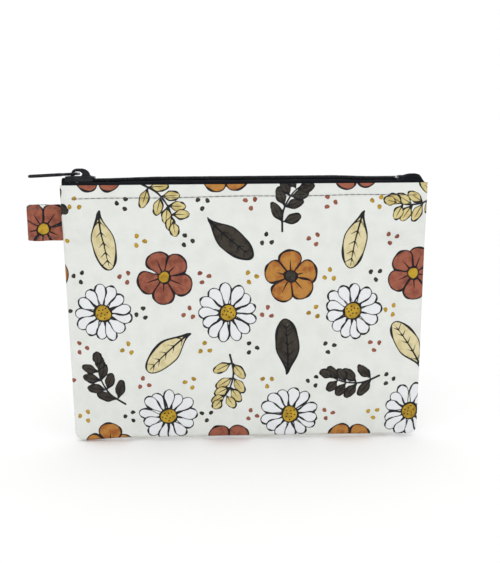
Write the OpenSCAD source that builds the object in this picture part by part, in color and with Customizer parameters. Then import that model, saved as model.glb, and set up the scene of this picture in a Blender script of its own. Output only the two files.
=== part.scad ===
// Flat zippered pouch with a folded side tab. Two padded fabric walls are sewn together
// along the bottom and both sides, and a coil zipper closes the mouth along the top.
// X runs along the zipper, Y from front to back and Z up. The origin is the middle of the
// bottom edge, on the surface that the pouch stands on. Lengths are in millimetres.

/* [Pouch] */
// Width across the top corners
top_w = 181; // [170:1:200]
// Width across the bottom corners
bottom_w = 177; // [168:1:200]
// Height of the fabric walls, without the zipper
wall_h = 131; // [115:1:150]
// Thickness at the fullest part of the belly
belly_t = 18; // [15:0.5:24]
// Thickness over the fabric edges of the mouth
mouth_t = 12.6; // [12.2:0.2:16]
// Thickness along the sewn sides
seam_t = 4; // [3.8:0.1:5]
// Radius of the bottom corners
corner_r = 5; // [2:0.5:10]

/* [Fabric layers] */
// Printed outer fabric
outer_t = 0.4; // [0.2:0.05:0.45]
// Fleece between the outer fabric and the lining
fleece_t = 0.9; // [0.4:0.1:0.9]
// Lining fabric
lining_t = 0.3; // [0.15:0.05:0.3]

/* [Zipper] */
// Thickness of the woven tape
tape_t = 0.5; // [0.3:0.05:0.5]
// Width of one row of coil, without the interlocking heads
coil_w = 2.9; // [2.4:0.1:2.9]
// Height of the coil above the tape
coil_h = 1.9; // [1.4:0.1:1.9]
// Distance from one coil tooth to the next on the same tape
tooth_pitch = 1.25; // [1.2:0.05:2]
// Length of the slider body
slider_l = 13.7; // [12:0.1:14]
// Width of the slider at its wide end
slider_w = 9.6; // [9:0.1:10]
// Length of the puller from its hinge bar to its tip
puller_l = 24.3; // [18:0.1:30]
// Thickness of the puller
puller_t = 1.5; // [1:0.1:1.5]

/* [Side tab] */
// Width of the folded tab
tab_w = 17.7; // [12:0.1:25]
// Length of the tab outside the seam
tab_l = 16.6; // [12:0.1:25]
// Height of the tab's middle above the bottom edge
tab_z = 112.9; // [60:0.1:113]

/* [Motion] */
// Distance that the slider moves from closed to open
slider_travel = 148; // [100:1:148]

/* [Hidden] */
$fn = 32;

print_colour = [0.91, 0.90, 0.86];
black_colour = [0.08, 0.08, 0.10];
metal_colour = [0.16, 0.17, 0.18];
thread_colour = [0.45, 0.44, 0.43];

// Clear space between two layers of one wall
layer_gap = 0.05;
// Faces of each layer, measured inwards from the outer face of the wall
fleece_in = outer_t + layer_gap;
lining_in = fleece_in + fleece_t + layer_gap;
tape_in = outer_t + 0.1;
// Height at which the walls begin, above the rolled edge that joins them
wall_z = 1.2;
base_h = 0.6;
// Half the width of the seam allowance that lies between the walls
allowance_y = 0.2;
// Rows and columns of the wall surface
rows = concat(
    [wall_z, 2, 4, 8],
    [for (k = [1:5]) 8 + (wall_h - 30) * k / 5],
    [wall_h - 15, wall_h - 10, wall_h - 7, wall_h - 4, wall_h - 1, wall_h]
);
half_columns = [0.18, 0.36, 0.52, 0.66, 0.78, 0.87, 0.93, 0.96, 0.98, 0.99, 1];
columns = concat([for (k = [len(half_columns) - 1:-1:0]) -half_columns[k]], [0], half_columns);

// Middle height of the flat part of the tape, and the levels of the slider around it
tape_z = wall_h + 1.1;
coil_z = tape_z + tape_t / 2 + 0.02;
plate_low_z = tape_z - 0.4;
plate_top_z = coil_z + coil_h + 0.2;
plate_t = 0.9;
// The slider rests with its wide end at the closed end of the zipper
slider_x = -top_w / 2 + 3.3;
neck_l = 3.2;
neck_x = slider_x + 1.5;
chain_x0 = neck_x + neck_l + 0.7;
chain_x1 = slider_x + slider_l + slider_travel + 1;
tape_end = top_w / 2 - 1.5;
bail_l = 9.3;
bail_x = slider_x + 2.4;
bail_z = plate_top_z + plate_t;
bar_x = bail_x + 3.1;
bar_z = bail_z + 1.2;
droop = 2.7;
stitch_l = 2.5;
stitch_pitch = 3;
stitch_r = 0.15;
topstitch_z = wall_h - 6.2;

// Smooth step from 0 at a to 1 at b
function ease(a, b, v) = let (t = min(1, max(0, (v - a) / (b - a)))) t * t * (3 - 2 * t);

// Half the width of the pouch at height z, with its rounded bottom corners
function half_w(z) =
    let (below = max(0, corner_r - z))
    (bottom_w + (top_w - bottom_w) * z / wall_h) / 2
    - (corner_r - sqrt(corner_r * corner_r - below * below));

// How far the middle of a wall stands out past its sewn edges at height z
mouth_rise = (mouth_t - seam_t) / 2;
belly_rise = (belly_t - seam_t) / 2 - 0.35 * mouth_rise;
function swell(z) =
    let (u = min(1, z / wall_h))
    mouth_rise * pow(u, 1.2) + belly_rise * sin(180 * pow(u, 0.8));

// Share of that swell at s, from -1 at the left seam to 1 at the right seam
function fullness(s, z) = 1 - pow(abs(s), 3 + 37 * ease(wall_h - 30, wall_h - 6, z));

// Distance of the wall's outer face from the middle plane
function wall_y(s, z) = seam_t / 2 + swell(z) * fullness(s, z);
function wall_y_at(x, z) = wall_y(max(-1, min(1, x / half_w(z))), z);

// A closed slab between two grids of points. Each grid is a list of columns with the same
// number of points, a is its outer face and b its inner face.
module slab(a, b) {
    nu = len(a);
    nv = len(a[0]);
    n = nu * nv;
    function p(i, j) = i * nv + j;
    points = concat([for (c = a) each c], [for (c = b) each c]);
    skin = [for (i = [0:nu - 2], j = [0:nv - 2]) each [
        [p(i, j), p(i, j + 1), p(i + 1, j + 1)],
        [p(i, j), p(i + 1, j + 1), p(i + 1, j)],
        [n + p(i, j), n + p(i + 1, j + 1), n + p(i, j + 1)],
        [n + p(i, j), n + p(i + 1, j), n + p(i + 1, j + 1)]
    ]];
    ends = [for (j = [0:nv - 2]) each [
        [n + p(0, j), n + p(0, j + 1), p(0, j + 1)],
        [n + p(0, j), p(0, j + 1), p(0, j)],
        [p(nu - 1, j), p(nu - 1, j + 1), n + p(nu - 1, j + 1)],
        [p(nu - 1, j), n + p(nu - 1, j + 1), n + p(nu - 1, j)]
    ]];
    edges = [for (i = [0:nu - 2]) each [
        [p(i + 1, 0), n + p(i + 1, 0), n + p(i, 0)],
        [p(i + 1, 0), n + p(i, 0), p(i, 0)],
        [p(i, nv - 1), n + p(i, nv - 1), n + p(i + 1, nv - 1)],
        [p(i, nv - 1), n + p(i + 1, nv - 1), p(i + 1, nv - 1)]
    ]];
    polyhedron(points, concat(skin, ends, edges));
}

// One layer of the front wall, t thick, with its outer face in from the wall's face
module wall_layer(in, t, z0, z1) {
    layer_rows = [for (z = rows) if (z >= z0 && z <= z1) z];
    function face(d) = [for (s = columns) [for (z = layer_rows) [s * half_w(z), d - wall_y(s, z), z]]];
    slab(face(in), face(in + t));
}

module wall_panel() { color(print_colour) wall_layer(0, outer_t, wall_z, wall_h); }
module wall_fleece() { color("white") wall_layer(fleece_in, fleece_t, 8, wall_h - 7); }
module wall_lining() { color([0.90, 0.89, 0.85]) wall_layer(lining_in, lining_t, 2, wall_h - 1); }

// Half of the zipper tape. It lies flat under the coil, turns down over its shoulder and
// runs between the outer fabric and the lining. Its inner edge opens around the slider's neck.
module zipper_tape() {
    xs = concat(
        [-tape_end],
        [for (s = columns) let (x = s * half_w(wall_h)) if (x > -tape_end && x < chain_x0 - 1.2) x],
        [chain_x0 - 0.6, chain_x0 - 0.2],
        [for (s = columns) let (x = s * half_w(wall_h)) if (x > chain_x0 && x < tape_end) x],
        [tape_end]
    );
    function inner(x) = x < chain_x0 - 0.4 ? 1.5 : 0.25;
    function drop(x, in) = [
        for (z = [wall_h - 6.8, wall_h - 4, wall_h - 1]) [x, in - wall_y_at(x, z), z]
    ];
    outer_face = [for (x = xs) let (w = wall_y_at(x, wall_h) - tape_in) concat(drop(x, tape_in), [
        [x, -w, tape_z - 0.55],
        [x, 0.9 - w, tape_z + tape_t / 2],
        [x, -inner(x), tape_z + tape_t / 2]
    ])];
    inner_face = [for (x = xs) let (w = wall_y_at(x, wall_h) - tape_in) concat(drop(x, tape_in + tape_t), [
        [x, tape_t - w, tape_z - 0.75],
        [x, 1.1 - w, tape_z - tape_t / 2],
        [x, -inner(x), tape_z - tape_t / 2]
    ])];
    color(black_colour) slab(outer_face, inner_face);
}

// One row of the coil as a comb. Its teeth reach past the middle, between those of the
// other row. shift moves it half a pitch for the second row.
module coil(shift) {
    head_y = 0.7;
    spine_y = -1;
    tooth_w = 0.5;
    count = floor((chain_x1 - chain_x0 - tooth_w - shift) / tooth_pitch);
    function tooth(k) = let (x = chain_x0 + shift + k * tooth_pitch) [
        [x, spine_y], [x, head_y], [x + tooth_w, head_y], [x + tooth_w, spine_y]
    ];
    outline = concat(
        [[chain_x0, -coil_w], [chain_x0, spine_y - 0.01]],
        [for (k = [0:count]) each tooth(k)],
        [[chain_x1, spine_y - 0.01], [chain_x1, -coil_w]]
    );
    color(black_colour) translate([0, 0, coil_z]) linear_extrude(coil_h) polygon(outline);
}

// The row of stitches under the mouth of the front wall
module topstitch() {
    reach = top_w / 2 - 6;
    count = floor(2 * reach / stitch_pitch);
    color(thread_colour) for (k = [0:count - 1]) {
        x0 = -reach + k * stitch_pitch;
        x1 = x0 + stitch_l;
        y0 = -wall_y_at(x0, topstitch_z) - stitch_r - 0.06;
        y1 = -wall_y_at(x1, topstitch_z) - stitch_r - 0.06;
        translate([x0, y0, topstitch_z]) rotate([0, 0, atan2(y1 - y0, x1 - x0)])
            rotate([0, 90, 0]) cylinder(h = stitch_l, r = stitch_r, $fn = 16);
    }
}

// A small clamp on the inner edge of each tape, past the slider's wide end
module top_stops() {
    l = 1.2;
    leaf = 0.6;
    gap = tape_t + 0.1;
    color(metal_colour) for (back = [0, 1]) mirror([0, back, 0])
        translate([0.2 - tape_end, -2.3, tape_z - gap / 2 - leaf]) difference() {
            cube([l, 1.2, gap + 2 * leaf]);
            translate([-1, -1, leaf]) cube([l + 2, 1.9, gap]);
        }
}

// The stop that bridges both tapes at the open end
module bottom_stop() {
    x = chain_x1 + 0.3;
    l = 2.2;
    gap = tape_t / 2 + 0.05;
    color(metal_colour) {
        translate([x, -2.6, tape_z + gap]) cube([l, 5.2, 1.8]);
        translate([x, -2.6, tape_z - gap - 0.5]) cube([l, 5.2, 0.5]);
        translate([x, -0.15, tape_z - gap - 0.5]) cube([l, 0.3, 2 * gap + 1]);
    }
}

// The allowance of a side seam, folded in between the walls. Each entry of lengths is the
// bottom and top height of one stretch, so that the tab can pass between two of them.
module side_seam(side, lengths) {
    inner_x = top_w / 2 - 6;
    w = 4.8;
    color(print_colour) for (r = lengths)
        translate([side > 0 ? inner_x : -inner_x - w, -allowance_y, r[0]])
            cube([w, 2 * allowance_y, r[1] - r[0]]);
}

// The rolled bottom edge and its seam allowance
module bottom_seam() {
    edge_x = bottom_w / 2 - corner_r;
    edge_y = seam_t / 2 - 0.1;
    color(print_colour) {
        translate([-edge_x, -edge_y, 0]) cube([2 * edge_x, 2 * edge_y, base_h]);
        translate([3 - edge_x, -allowance_y, 0]) cube([2 * edge_x - 6, 2 * allowance_y, 7]);
    }
}

// The tab is a strip folded in half into a flat loop, with both ends in the left seam
tab_x = -top_w / 2 - 0.4;
tab_wall = 0.9;
tab_bulge = 3.3;
tab_nose = 2.0;
function tab_half(u) = 1 + (tab_bulge - 1) * sin(180 * pow(u, 1.25)) + (tab_nose - 1) * u;
function tab_outline(in) =
    let (l = tab_l - tab_nose, n = 16, nose = tab_nose - in)
    concat(
        [for (k = [0:n]) let (u = k / n) [tab_x - u * l, tab_half(u) - in]],
        [for (a = [15:15:165]) [tab_x - l - nose * sin(a), nose * cos(a)]],
        [for (k = [n:-1:0]) let (u = k / n) [tab_x - u * l, in - tab_half(u)]]
    );

module side_tab() {
    low = tab_z - tab_w / 2;
    color([0.72, 0.45, 0.25]) {
        difference() {
            translate([0, 0, low]) linear_extrude(tab_w) polygon(tab_outline(0));
            translate([0, 0, low - 1]) linear_extrude(tab_w + 2) intersection() {
                polygon(tab_outline(tab_wall));
                translate([tab_x - tab_l, -10]) square([tab_l - 0.6, 20]);
            }
        }
        translate([tab_x - 0.2, -allowance_y, low]) cube([5, 2 * allowance_y, tab_w]);
    }
}

// Rows of stitches along both edges of the tab, on its front and its back
module tab_stitching() {
    inset = 1.7;
    count = 5;
    l = tab_l - tab_nose;
    color(thread_colour)
    for (side = [-1, 1], z = [tab_z - tab_w / 2 + inset, tab_z + tab_w / 2 - inset], k = [0:count - 1]) {
        u0 = (0.4 + k * 2.8) / l;
        u1 = u0 + 2.2 / l;
        y0 = tab_half(u0) + stitch_r + 0.07;
        y1 = tab_half(u1) + stitch_r + 0.07;
        translate([tab_x - u0 * l, side * y0, z])
            rotate([0, 0, atan2(side * (y1 - y0), (u0 - u1) * l)])
            rotate([0, 90, 0]) cylinder(h = 2.2, r = stitch_r, $fn = 16);
    }
}

// Outline of a slider plate: wide at its left end, narrow at its right end
function corner(x, y, r, a0) = [for (a = [a0:-15:a0 - 90]) [x + r * cos(a), y + r * sin(a)]];
function plate_outline(l, wide, narrow, r) = concat(
    corner(r, wide / 2 - r, r, 180),
    corner(l - r, narrow / 2 - r, r, 90),
    corner(l - r, r - narrow / 2, r, 0),
    corner(r, r - wide / 2, r, -90)
);

// Two plates joined by a neck between the tapes. The upper one has a flange down each side.
module slider_body() {
    narrow_w = slider_w - 1.4;
    channel_y = coil_w + 0.35;
    flange_h = plate_top_z - tape_z - 0.6;
    color(metal_colour) {
        translate([slider_x, 0, plate_top_z]) linear_extrude(plate_t)
            polygon(plate_outline(slider_l, slider_w, narrow_w, 1.2));
        difference() {
            translate([slider_x, 0, plate_top_z - flange_h]) linear_extrude(flange_h + 0.1)
                polygon(plate_outline(slider_l, slider_w, narrow_w, 1.2));
            translate([slider_x - 1, -channel_y, plate_top_z - flange_h - 1])
                cube([slider_l + 2, 2 * channel_y, flange_h + 1]);
        }
        translate([slider_x, 0, plate_low_z - plate_t]) linear_extrude(plate_t)
            polygon(plate_outline(slider_l, 7.2, 6.4, 1));
        translate([neck_x, 0, plate_low_z - 0.1]) linear_extrude(plate_top_z - plate_low_z + 0.2)
            polygon([[0, -0.5], [0, 0.5], [0.9, 1.2], [neck_l, 0.4], [neck_l, -0.4], [0.9, -1.2]]);
    }
}

// The arch that holds the puller. Its long low window lets the puller's bar run and turn.
module slider_bail() {
    thickness = 1.8;
    top = 3.8;
    outer = concat(
        [[0, 0]],
        [for (a = [180:-15:90]) [3 + 3 * cos(a), top - 3 + 3 * sin(a)]],
        [for (a = [80:-20:0]) [bail_l - 1.8 + 1.8 * cos(a), top - 2.3 + 1.8 * sin(a)]],
        [[bail_l, 0]]
    );
    window = concat(
        [[1.3, -1]],
        [for (a = [180:-15:90]) [3 + 1.7 * cos(a), top - 2.9 + 1.7 * sin(a)]],
        [[6.3, top - 1.6], [6.9, top - 2.4], [6.9, -1]]
    );
    color(metal_colour) translate([bail_x, thickness / 2, bail_z]) rotate([90, 0, 0])
        linear_extrude(thickness) difference() {
            polygon(outer);
            polygon(window);
        }
}

// The puller turns on the round bar at its end, which lies inside the bail's window
module puller() {
    ring_w = 6.2;
    slot_w = 3.2;
    slot_l = 7.2;
    bar_r = puller_t / 2;
    recess = 0.25;
    outline = concat(
        [[0, ring_w / 2], [0, -ring_w / 2], [-slot_l - 0.6, -ring_w / 2], [-slot_l - 2.6, -2.2]],
        [for (a = [-90:-15:-270]) [3 - puller_l + 3 * cos(a), 2.9 * sin(a)]],
        [[-slot_l - 2.6, 2.2], [-slot_l - 0.6, ring_w / 2]]
    );
    color(metal_colour) translate([bar_x, 0, bar_z]) rotate([0, -droop, 0]) {
        difference() {
            translate([0, 0, -puller_t / 2]) linear_extrude(puller_t) polygon(outline);
            translate([-slot_l, -slot_w / 2, -puller_t]) cube([slot_l + 1, slot_w, 2 * puller_t]);
            for (z = [-puller_t / 2 - 1, puller_t / 2 - recess])
                translate([4 - puller_l, -1.5, z]) cube([9, 3, 1 + recess]);
        }
        rotate([90, 0, 0]) cylinder(h = ring_w, r = bar_r, center = true);
    }
}

module to_back() { mirror([0, 1, 0]) children(); }

tab_low = tab_z - tab_w / 2;
tab_high = tab_z + tab_w / 2;
seam_low = corner_r + 3;
seam_high = wall_h - 5;

bottom_seam();
side_seam(-1, [[seam_low, tab_low - 1], [tab_high + 1, seam_high]]);  // left_side_seam
side_seam(1, [[seam_low, seam_high]]);  // right_side_seam
side_tab();
tab_stitching();
top_stops();
bottom_stop();
wall_panel();  // front_panel
wall_fleece();  // front_fleece
wall_lining();  // front_lining
zipper_tape();  // front_zipper_tape
coil(0);  // front_coil
topstitch();  // front_topstitch
to_back() wall_panel();  // back_panel
to_back() wall_fleece();  // back_fleece
to_back() wall_lining();  // back_lining
to_back() zipper_tape();  // back_zipper_tape
to_back() coil(tooth_pitch / 2);  // back_coil
to_back() topstitch();  // back_topstitch
slider_body();
slider_bail();
puller();
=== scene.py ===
import math

import bmesh
import bpy
import numpy as np
from mathutils import Matrix, Vector


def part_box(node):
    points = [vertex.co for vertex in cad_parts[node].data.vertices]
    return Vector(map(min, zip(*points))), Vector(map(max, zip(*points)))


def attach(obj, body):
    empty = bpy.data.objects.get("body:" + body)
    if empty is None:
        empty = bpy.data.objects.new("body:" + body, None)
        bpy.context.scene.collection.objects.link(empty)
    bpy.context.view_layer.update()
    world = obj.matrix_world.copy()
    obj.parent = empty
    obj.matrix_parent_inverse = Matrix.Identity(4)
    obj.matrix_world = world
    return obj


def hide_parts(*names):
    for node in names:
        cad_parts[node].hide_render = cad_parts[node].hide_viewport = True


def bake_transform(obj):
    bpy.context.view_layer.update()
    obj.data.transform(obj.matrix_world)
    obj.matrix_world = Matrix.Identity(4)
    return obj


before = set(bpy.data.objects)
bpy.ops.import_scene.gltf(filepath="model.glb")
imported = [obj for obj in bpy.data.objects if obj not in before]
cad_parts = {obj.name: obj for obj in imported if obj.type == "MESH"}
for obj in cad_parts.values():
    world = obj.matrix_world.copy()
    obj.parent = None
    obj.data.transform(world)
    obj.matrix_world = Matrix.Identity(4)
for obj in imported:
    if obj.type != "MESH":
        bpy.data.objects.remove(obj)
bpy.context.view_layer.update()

# Lengths below are in millimetres, in the frame of the CAD model. MM turns them into metres.
MM = 0.001
TOP_W, BOTTOM_W, WALL_H = 181.0, 177.0, 131.0
CORNER_R, SEAM_T, BELLY_T, MOUTH_T = 5.0, 4.0, 18.0, 12.6
STITCH_Z = WALL_H - 6.2
TAPE_Z = WALL_H + 1.1
# Radius of a wall's turn into its side and bottom seams, and of a fold of its cloth
EDGE_R = 2.0
FOLD_R = 0.42
FOLD_Z = WALL_H - 0.9
# How far inside the outer face of a wall its padding and the two faces of its lining end
PADDING_IN, LINING_IN, LINING_BACK = 1.12, 1.42, 1.74
LINING_CELL = 2.2
TAPE_IN, TAPE_HALF_T, TAPE_CORNER_R = 0.85, 0.24, 1.0
STITCH_R, STITCH_L, STITCH_GAP = 0.17, 2.76, 0.24
TAB_STITCH_L, TAB_STITCH_PITCH, TAB_STITCH_IN = 2.2, 2.8, 1.7
COIL_PITCH, COIL_TURN_POINTS = 1.25, 16
SEAM_BODY = "seams"
WALL_BODY = {"front": "front_wall", "back": "back_wall"}
FACING = {"front": -1, "back": 1}

slider_low, slider_high = (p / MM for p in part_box("slider_body"))
bail_low, bail_high = (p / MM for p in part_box("slider_bail"))
stop_low, stop_high = (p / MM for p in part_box("bottom_stop"))
tab_low, tab_high = (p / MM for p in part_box("side_tab"))
tape_low, tape_high = (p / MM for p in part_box("front_zipper_tape"))
coil_low, coil_high = (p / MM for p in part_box("front_coil"))


# ---------------- camera

def make_camera():
    """The photograph's view: level with the zipper, looking slightly down."""
    data = bpy.data.cameras.new("camera")
    data.lens, data.sensor_width = 44.76, 36
    camera = bpy.data.objects.new("camera", data)
    bpy.context.scene.collection.objects.link(camera)
    pitch, yaw, roll = (math.radians(a) for a in (8.56, 1.29, -0.485))
    ahead = Vector((math.sin(yaw) * math.cos(pitch), math.cos(yaw) * math.cos(pitch), -math.sin(pitch)))
    right = Vector((math.cos(yaw), -math.sin(yaw), 0))
    up = right.cross(ahead)
    right_rolled = math.cos(roll) * right + math.sin(roll) * up
    up_rolled = -math.sin(roll) * right + math.cos(roll) * up
    turn = Matrix((right_rolled, up_rolled, -ahead)).transposed().to_4x4()
    camera.matrix_world = Matrix.Translation(Vector((-5.6, -348.6, 134.7)) * MM) @ turn
    data.clip_start, data.clip_end = 0.01, 20
    bpy.context.scene.camera = camera


make_camera()
bpy.context.scene.view_settings.view_transform = "Standard"


# ---------------- small mathematics

def ease(a, b, v):
    t = np.clip((np.asarray(v, float) - a) / (b - a), 0, 1)
    return t * t * (3 - 2 * t)


def bell(v, middle, width):
    return np.exp(-(((np.asarray(v, float) - middle) / width) ** 2))


def waves(seed, count, low, high):
    """Smooth random unevenness of about unit size, with wavelengths from low to high."""
    rng = np.random.default_rng(seed)
    length = rng.uniform(low, high, count)
    angle = rng.uniform(0, 2 * math.pi, count)
    phase = rng.uniform(0, 2 * math.pi, count)
    kx, kz = 2 * math.pi * np.cos(angle) / length, 2 * math.pi * np.sin(angle) / length

    def value(x, z):
        x, z = np.broadcast_arrays(np.asarray(x, float), np.asarray(z, float))
        total = np.zeros(x.shape)
        for a, b, c in zip(kx, kz, phase):
            total += np.sin(a * x + b * z + c)
        return total / math.sqrt(count / 2)

    return value


# ---------------- meshes

def make_object(name, points, faces, sharp=None):
    mesh = bpy.data.meshes.new(name)
    mesh.from_pydata((np.asarray(points, float) * MM).tolist(), [], faces)
    mesh.validate()
    mesh.update()
    mesh.shade_smooth()
    if sharp:
        mesh.set_sharp_from_angle(angle=math.radians(sharp))
    obj = bpy.data.objects.new(name, mesh)
    bpy.context.scene.collection.objects.link(obj)
    return obj


def keep(obj, name, values, kind="FLOAT"):
    """Stores one value per point on the mesh, for its material to read."""
    attribute = obj.data.attributes.new(name, kind, "POINT")
    key = "vector" if kind == "FLOAT_VECTOR" else "value"
    attribute.data.foreach_set(key, np.asarray(values, np.float32).ravel())


def keep_place(obj, points):
    """The points' places in millimetres, which a pattern follows when the piece bends."""
    keep(obj, "place_mm", points, "FLOAT_VECTOR")


def make_piece(name, parts, material, sharp=None):
    """One object from several parts, with its material, slot and places."""
    points, faces = join(parts)
    obj = make_object(name, points, faces, sharp)
    keep_place(obj, points)
    finish_piece(obj, material)
    return obj


def outward(obj):
    """Turns all faces of a closed mesh to point outwards."""
    bm = bmesh.new()
    bm.from_mesh(obj.data)
    bmesh.ops.recalc_face_normals(bm, faces=bm.faces)
    bm.to_mesh(obj.data)
    bm.free()
    obj.data.update()


def grid_faces(nu, nv, start=0, flip=False, wrap_v=False):
    i = np.arange(nu - 1)
    j = np.arange(nv if wrap_v else nv - 1)
    i, j = (a.ravel() for a in np.meshgrid(i, j, indexing="ij"))
    i1, j1 = i + 1, (j + 1) % nv
    quads = np.stack([i * nv + j, i * nv + j1, i1 * nv + j1, i1 * nv + j], 1) + start
    return (quads[:, ::-1] if flip else quads).tolist()


def capped_tube(n, sides):
    """Faces of n rings of points, with a flat face at each end."""
    ends = [tuple(range(sides)), tuple(range((n - 1) * sides, n * sides))[::-1]]
    return grid_faces(n, sides, wrap_v=True) + ends


def strip(a, b):
    """Triangles between two rows of points that need not have the same number."""
    faces, i, j = [], 0, 0
    while i < len(a) - 1 or j < len(b) - 1:
        next_a = (i + 1) / (len(a) - 1) if i < len(a) - 1 else 9
        next_b = (j + 1) / (len(b) - 1) if j < len(b) - 1 else 9
        if next_a <= next_b:
            faces.append((a[i], a[i + 1], b[j]))
            i += 1
        else:
            faces.append((a[i], b[j + 1], b[j]))
            j += 1
    return faces


def rim(nu, nv, start=0):
    """The four sides of a grid, in order round it."""
    p = lambda i, j: start + i * nv + j
    return [
        [p(i, 0) for i in range(nu)],
        [p(nu - 1, j) for j in range(nv)],
        [p(i, nv - 1) for i in range(nu - 1, -1, -1)],
        [p(0, j) for j in range(nv - 1, -1, -1)],
    ]


def shell(outer, inner):
    """Points and faces of a closed shell between two grids, which may differ in density."""
    (nu, nv), (mu, mv) = outer.shape[:2], inner.shape[:2]
    start = nu * nv
    faces = grid_faces(nu, nv) + grid_faces(mu, mv, start, flip=True)
    for a, b in zip(rim(nu, nv), rim(mu, mv, start)):
        faces += strip(a, b)
    return np.concatenate([outer.reshape(-1, 3), inner.reshape(-1, 3)]), faces


def closed_pair(name, outer, inner):
    """A shell as an object, with its edges kept sharp."""
    points, faces = shell(outer, inner)
    obj = make_object(name, points, faces)
    outward(obj)
    obj.data.set_sharp_from_angle(angle=math.radians(62))
    return obj, points


def tube(path, radius, sides=10, across=None):
    """Points and faces of a tube along a path. radius may vary, and across fixes the side vector."""
    path = np.asarray(path, float)
    n = len(path)
    radius = np.broadcast_to(np.asarray(radius, float), (n,))
    ahead = np.gradient(path, axis=0)
    ahead /= np.linalg.norm(ahead, axis=1)[:, None]
    side = np.cross(ahead, [0.0, 0.0, 1.0])
    if across is not None:
        side = np.tile(np.asarray(across, float), (n, 1))
    for k in range(n):
        if np.linalg.norm(side[k]) < 1e-6:
            side[k] = side[k - 1] if k else [0, 1, 0]
    side /= np.linalg.norm(side, axis=1)[:, None]
    up = np.cross(side, ahead)
    turn = np.linspace(0, 2 * math.pi, sides, endpoint=False)
    ring = np.cos(turn)[None, :, None] * side[:, None] + np.sin(turn)[None, :, None] * up[:, None]
    points = path[:, None] + radius[:, None, None] * ring
    return points.reshape(-1, 3), capped_tube(n, sides)


def stitch(path):
    """A short thread that thins and dives into the cloth at both ends."""
    t = np.linspace(0, 1, len(path))
    return tube(path, STITCH_R * np.sin(math.pi * np.clip(t, 0.12, 0.88)) ** 0.4, 7)


def join(parts):
    """One list of points and faces from several."""
    points, faces, start = [], [], 0
    for p, f in parts:
        points.append(p)
        faces += [tuple(k + start for k in face) for face in f]
        start += len(p)
    return np.concatenate(points), faces


def rounded_prism(outline, z0, z1, r, steps=4):
    """A flat plate with rounded edges. The outline is a convex polygon, anticlockwise."""
    outline = np.asarray(outline, float)
    before, after = np.roll(outline, 1, 0), np.roll(outline, -1, 0)
    edge = after - before
    normal = np.stack([edge[:, 1], -edge[:, 0]], 1)
    normal /= np.linalg.norm(normal, axis=1)[:, None]
    rings = []
    for a in np.linspace(0, math.pi / 2, steps + 1):
        rings.append((r * (1 - math.sin(a)), z0 + r * (1 - math.cos(a))))
    rings += [(inset, z0 + z1 - z) for inset, z in rings[::-1]]
    n = len(outline)
    points = np.concatenate([np.column_stack([outline - inset * normal, np.full(n, z)])
                             for inset, z in rings])
    faces = grid_faces(len(rings), n, flip=True, wrap_v=True)
    faces += [tuple(range(n))[::-1], tuple(range((len(rings) - 1) * n, len(rings) * n))]
    return points, faces


# ---------------- the pouch's shape

MOUTH_RISE = (MOUTH_T - SEAM_T) / 2
BELLY_RISE = (BELLY_T - SEAM_T) / 2 - 0.35 * MOUTH_RISE


def half_w(z):
    """Half the pouch's width at a height, with rounded bottom corners."""
    z = np.asarray(z, float)
    below = np.clip(CORNER_R - z, 0, CORNER_R)
    straight = (BOTTOM_W + (TOP_W - BOTTOM_W) * z / WALL_H) / 2
    return straight - (CORNER_R - np.sqrt(CORNER_R**2 - below**2))


def swell(z):
    u = np.clip(np.asarray(z, float) / WALL_H, 0, 1)
    return MOUTH_RISE * u**1.2 + BELLY_RISE * np.sin(math.pi * u**0.8)


def wall_y(s, z):
    """How far a smooth wall lies from the middle plane, at a share s of the half width."""
    power = 3 + 37 * ease(WALL_H - 30, WALL_H - 6, z)
    return SEAM_T / 2 + swell(z) * (1 - np.abs(s) ** power)


def wall_y_at(x, z):
    return wall_y(np.clip(x / half_w(z), -1, 1), z)


def bottom_z(x):
    """The bottom edge hangs lowest at its left corner."""
    return 0.15 + 1.25 * ease(-84, -58, x) - 0.5 * ease(40, 88, x)


# ---------------- cloth simulation

SIM_SCALE, SIM_FRAMES = 8.0, 20
SHARES, HEIGHTS = np.linspace(-1, 1, 73), np.linspace(2.0, WALL_H - 1.0, 53)


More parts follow.
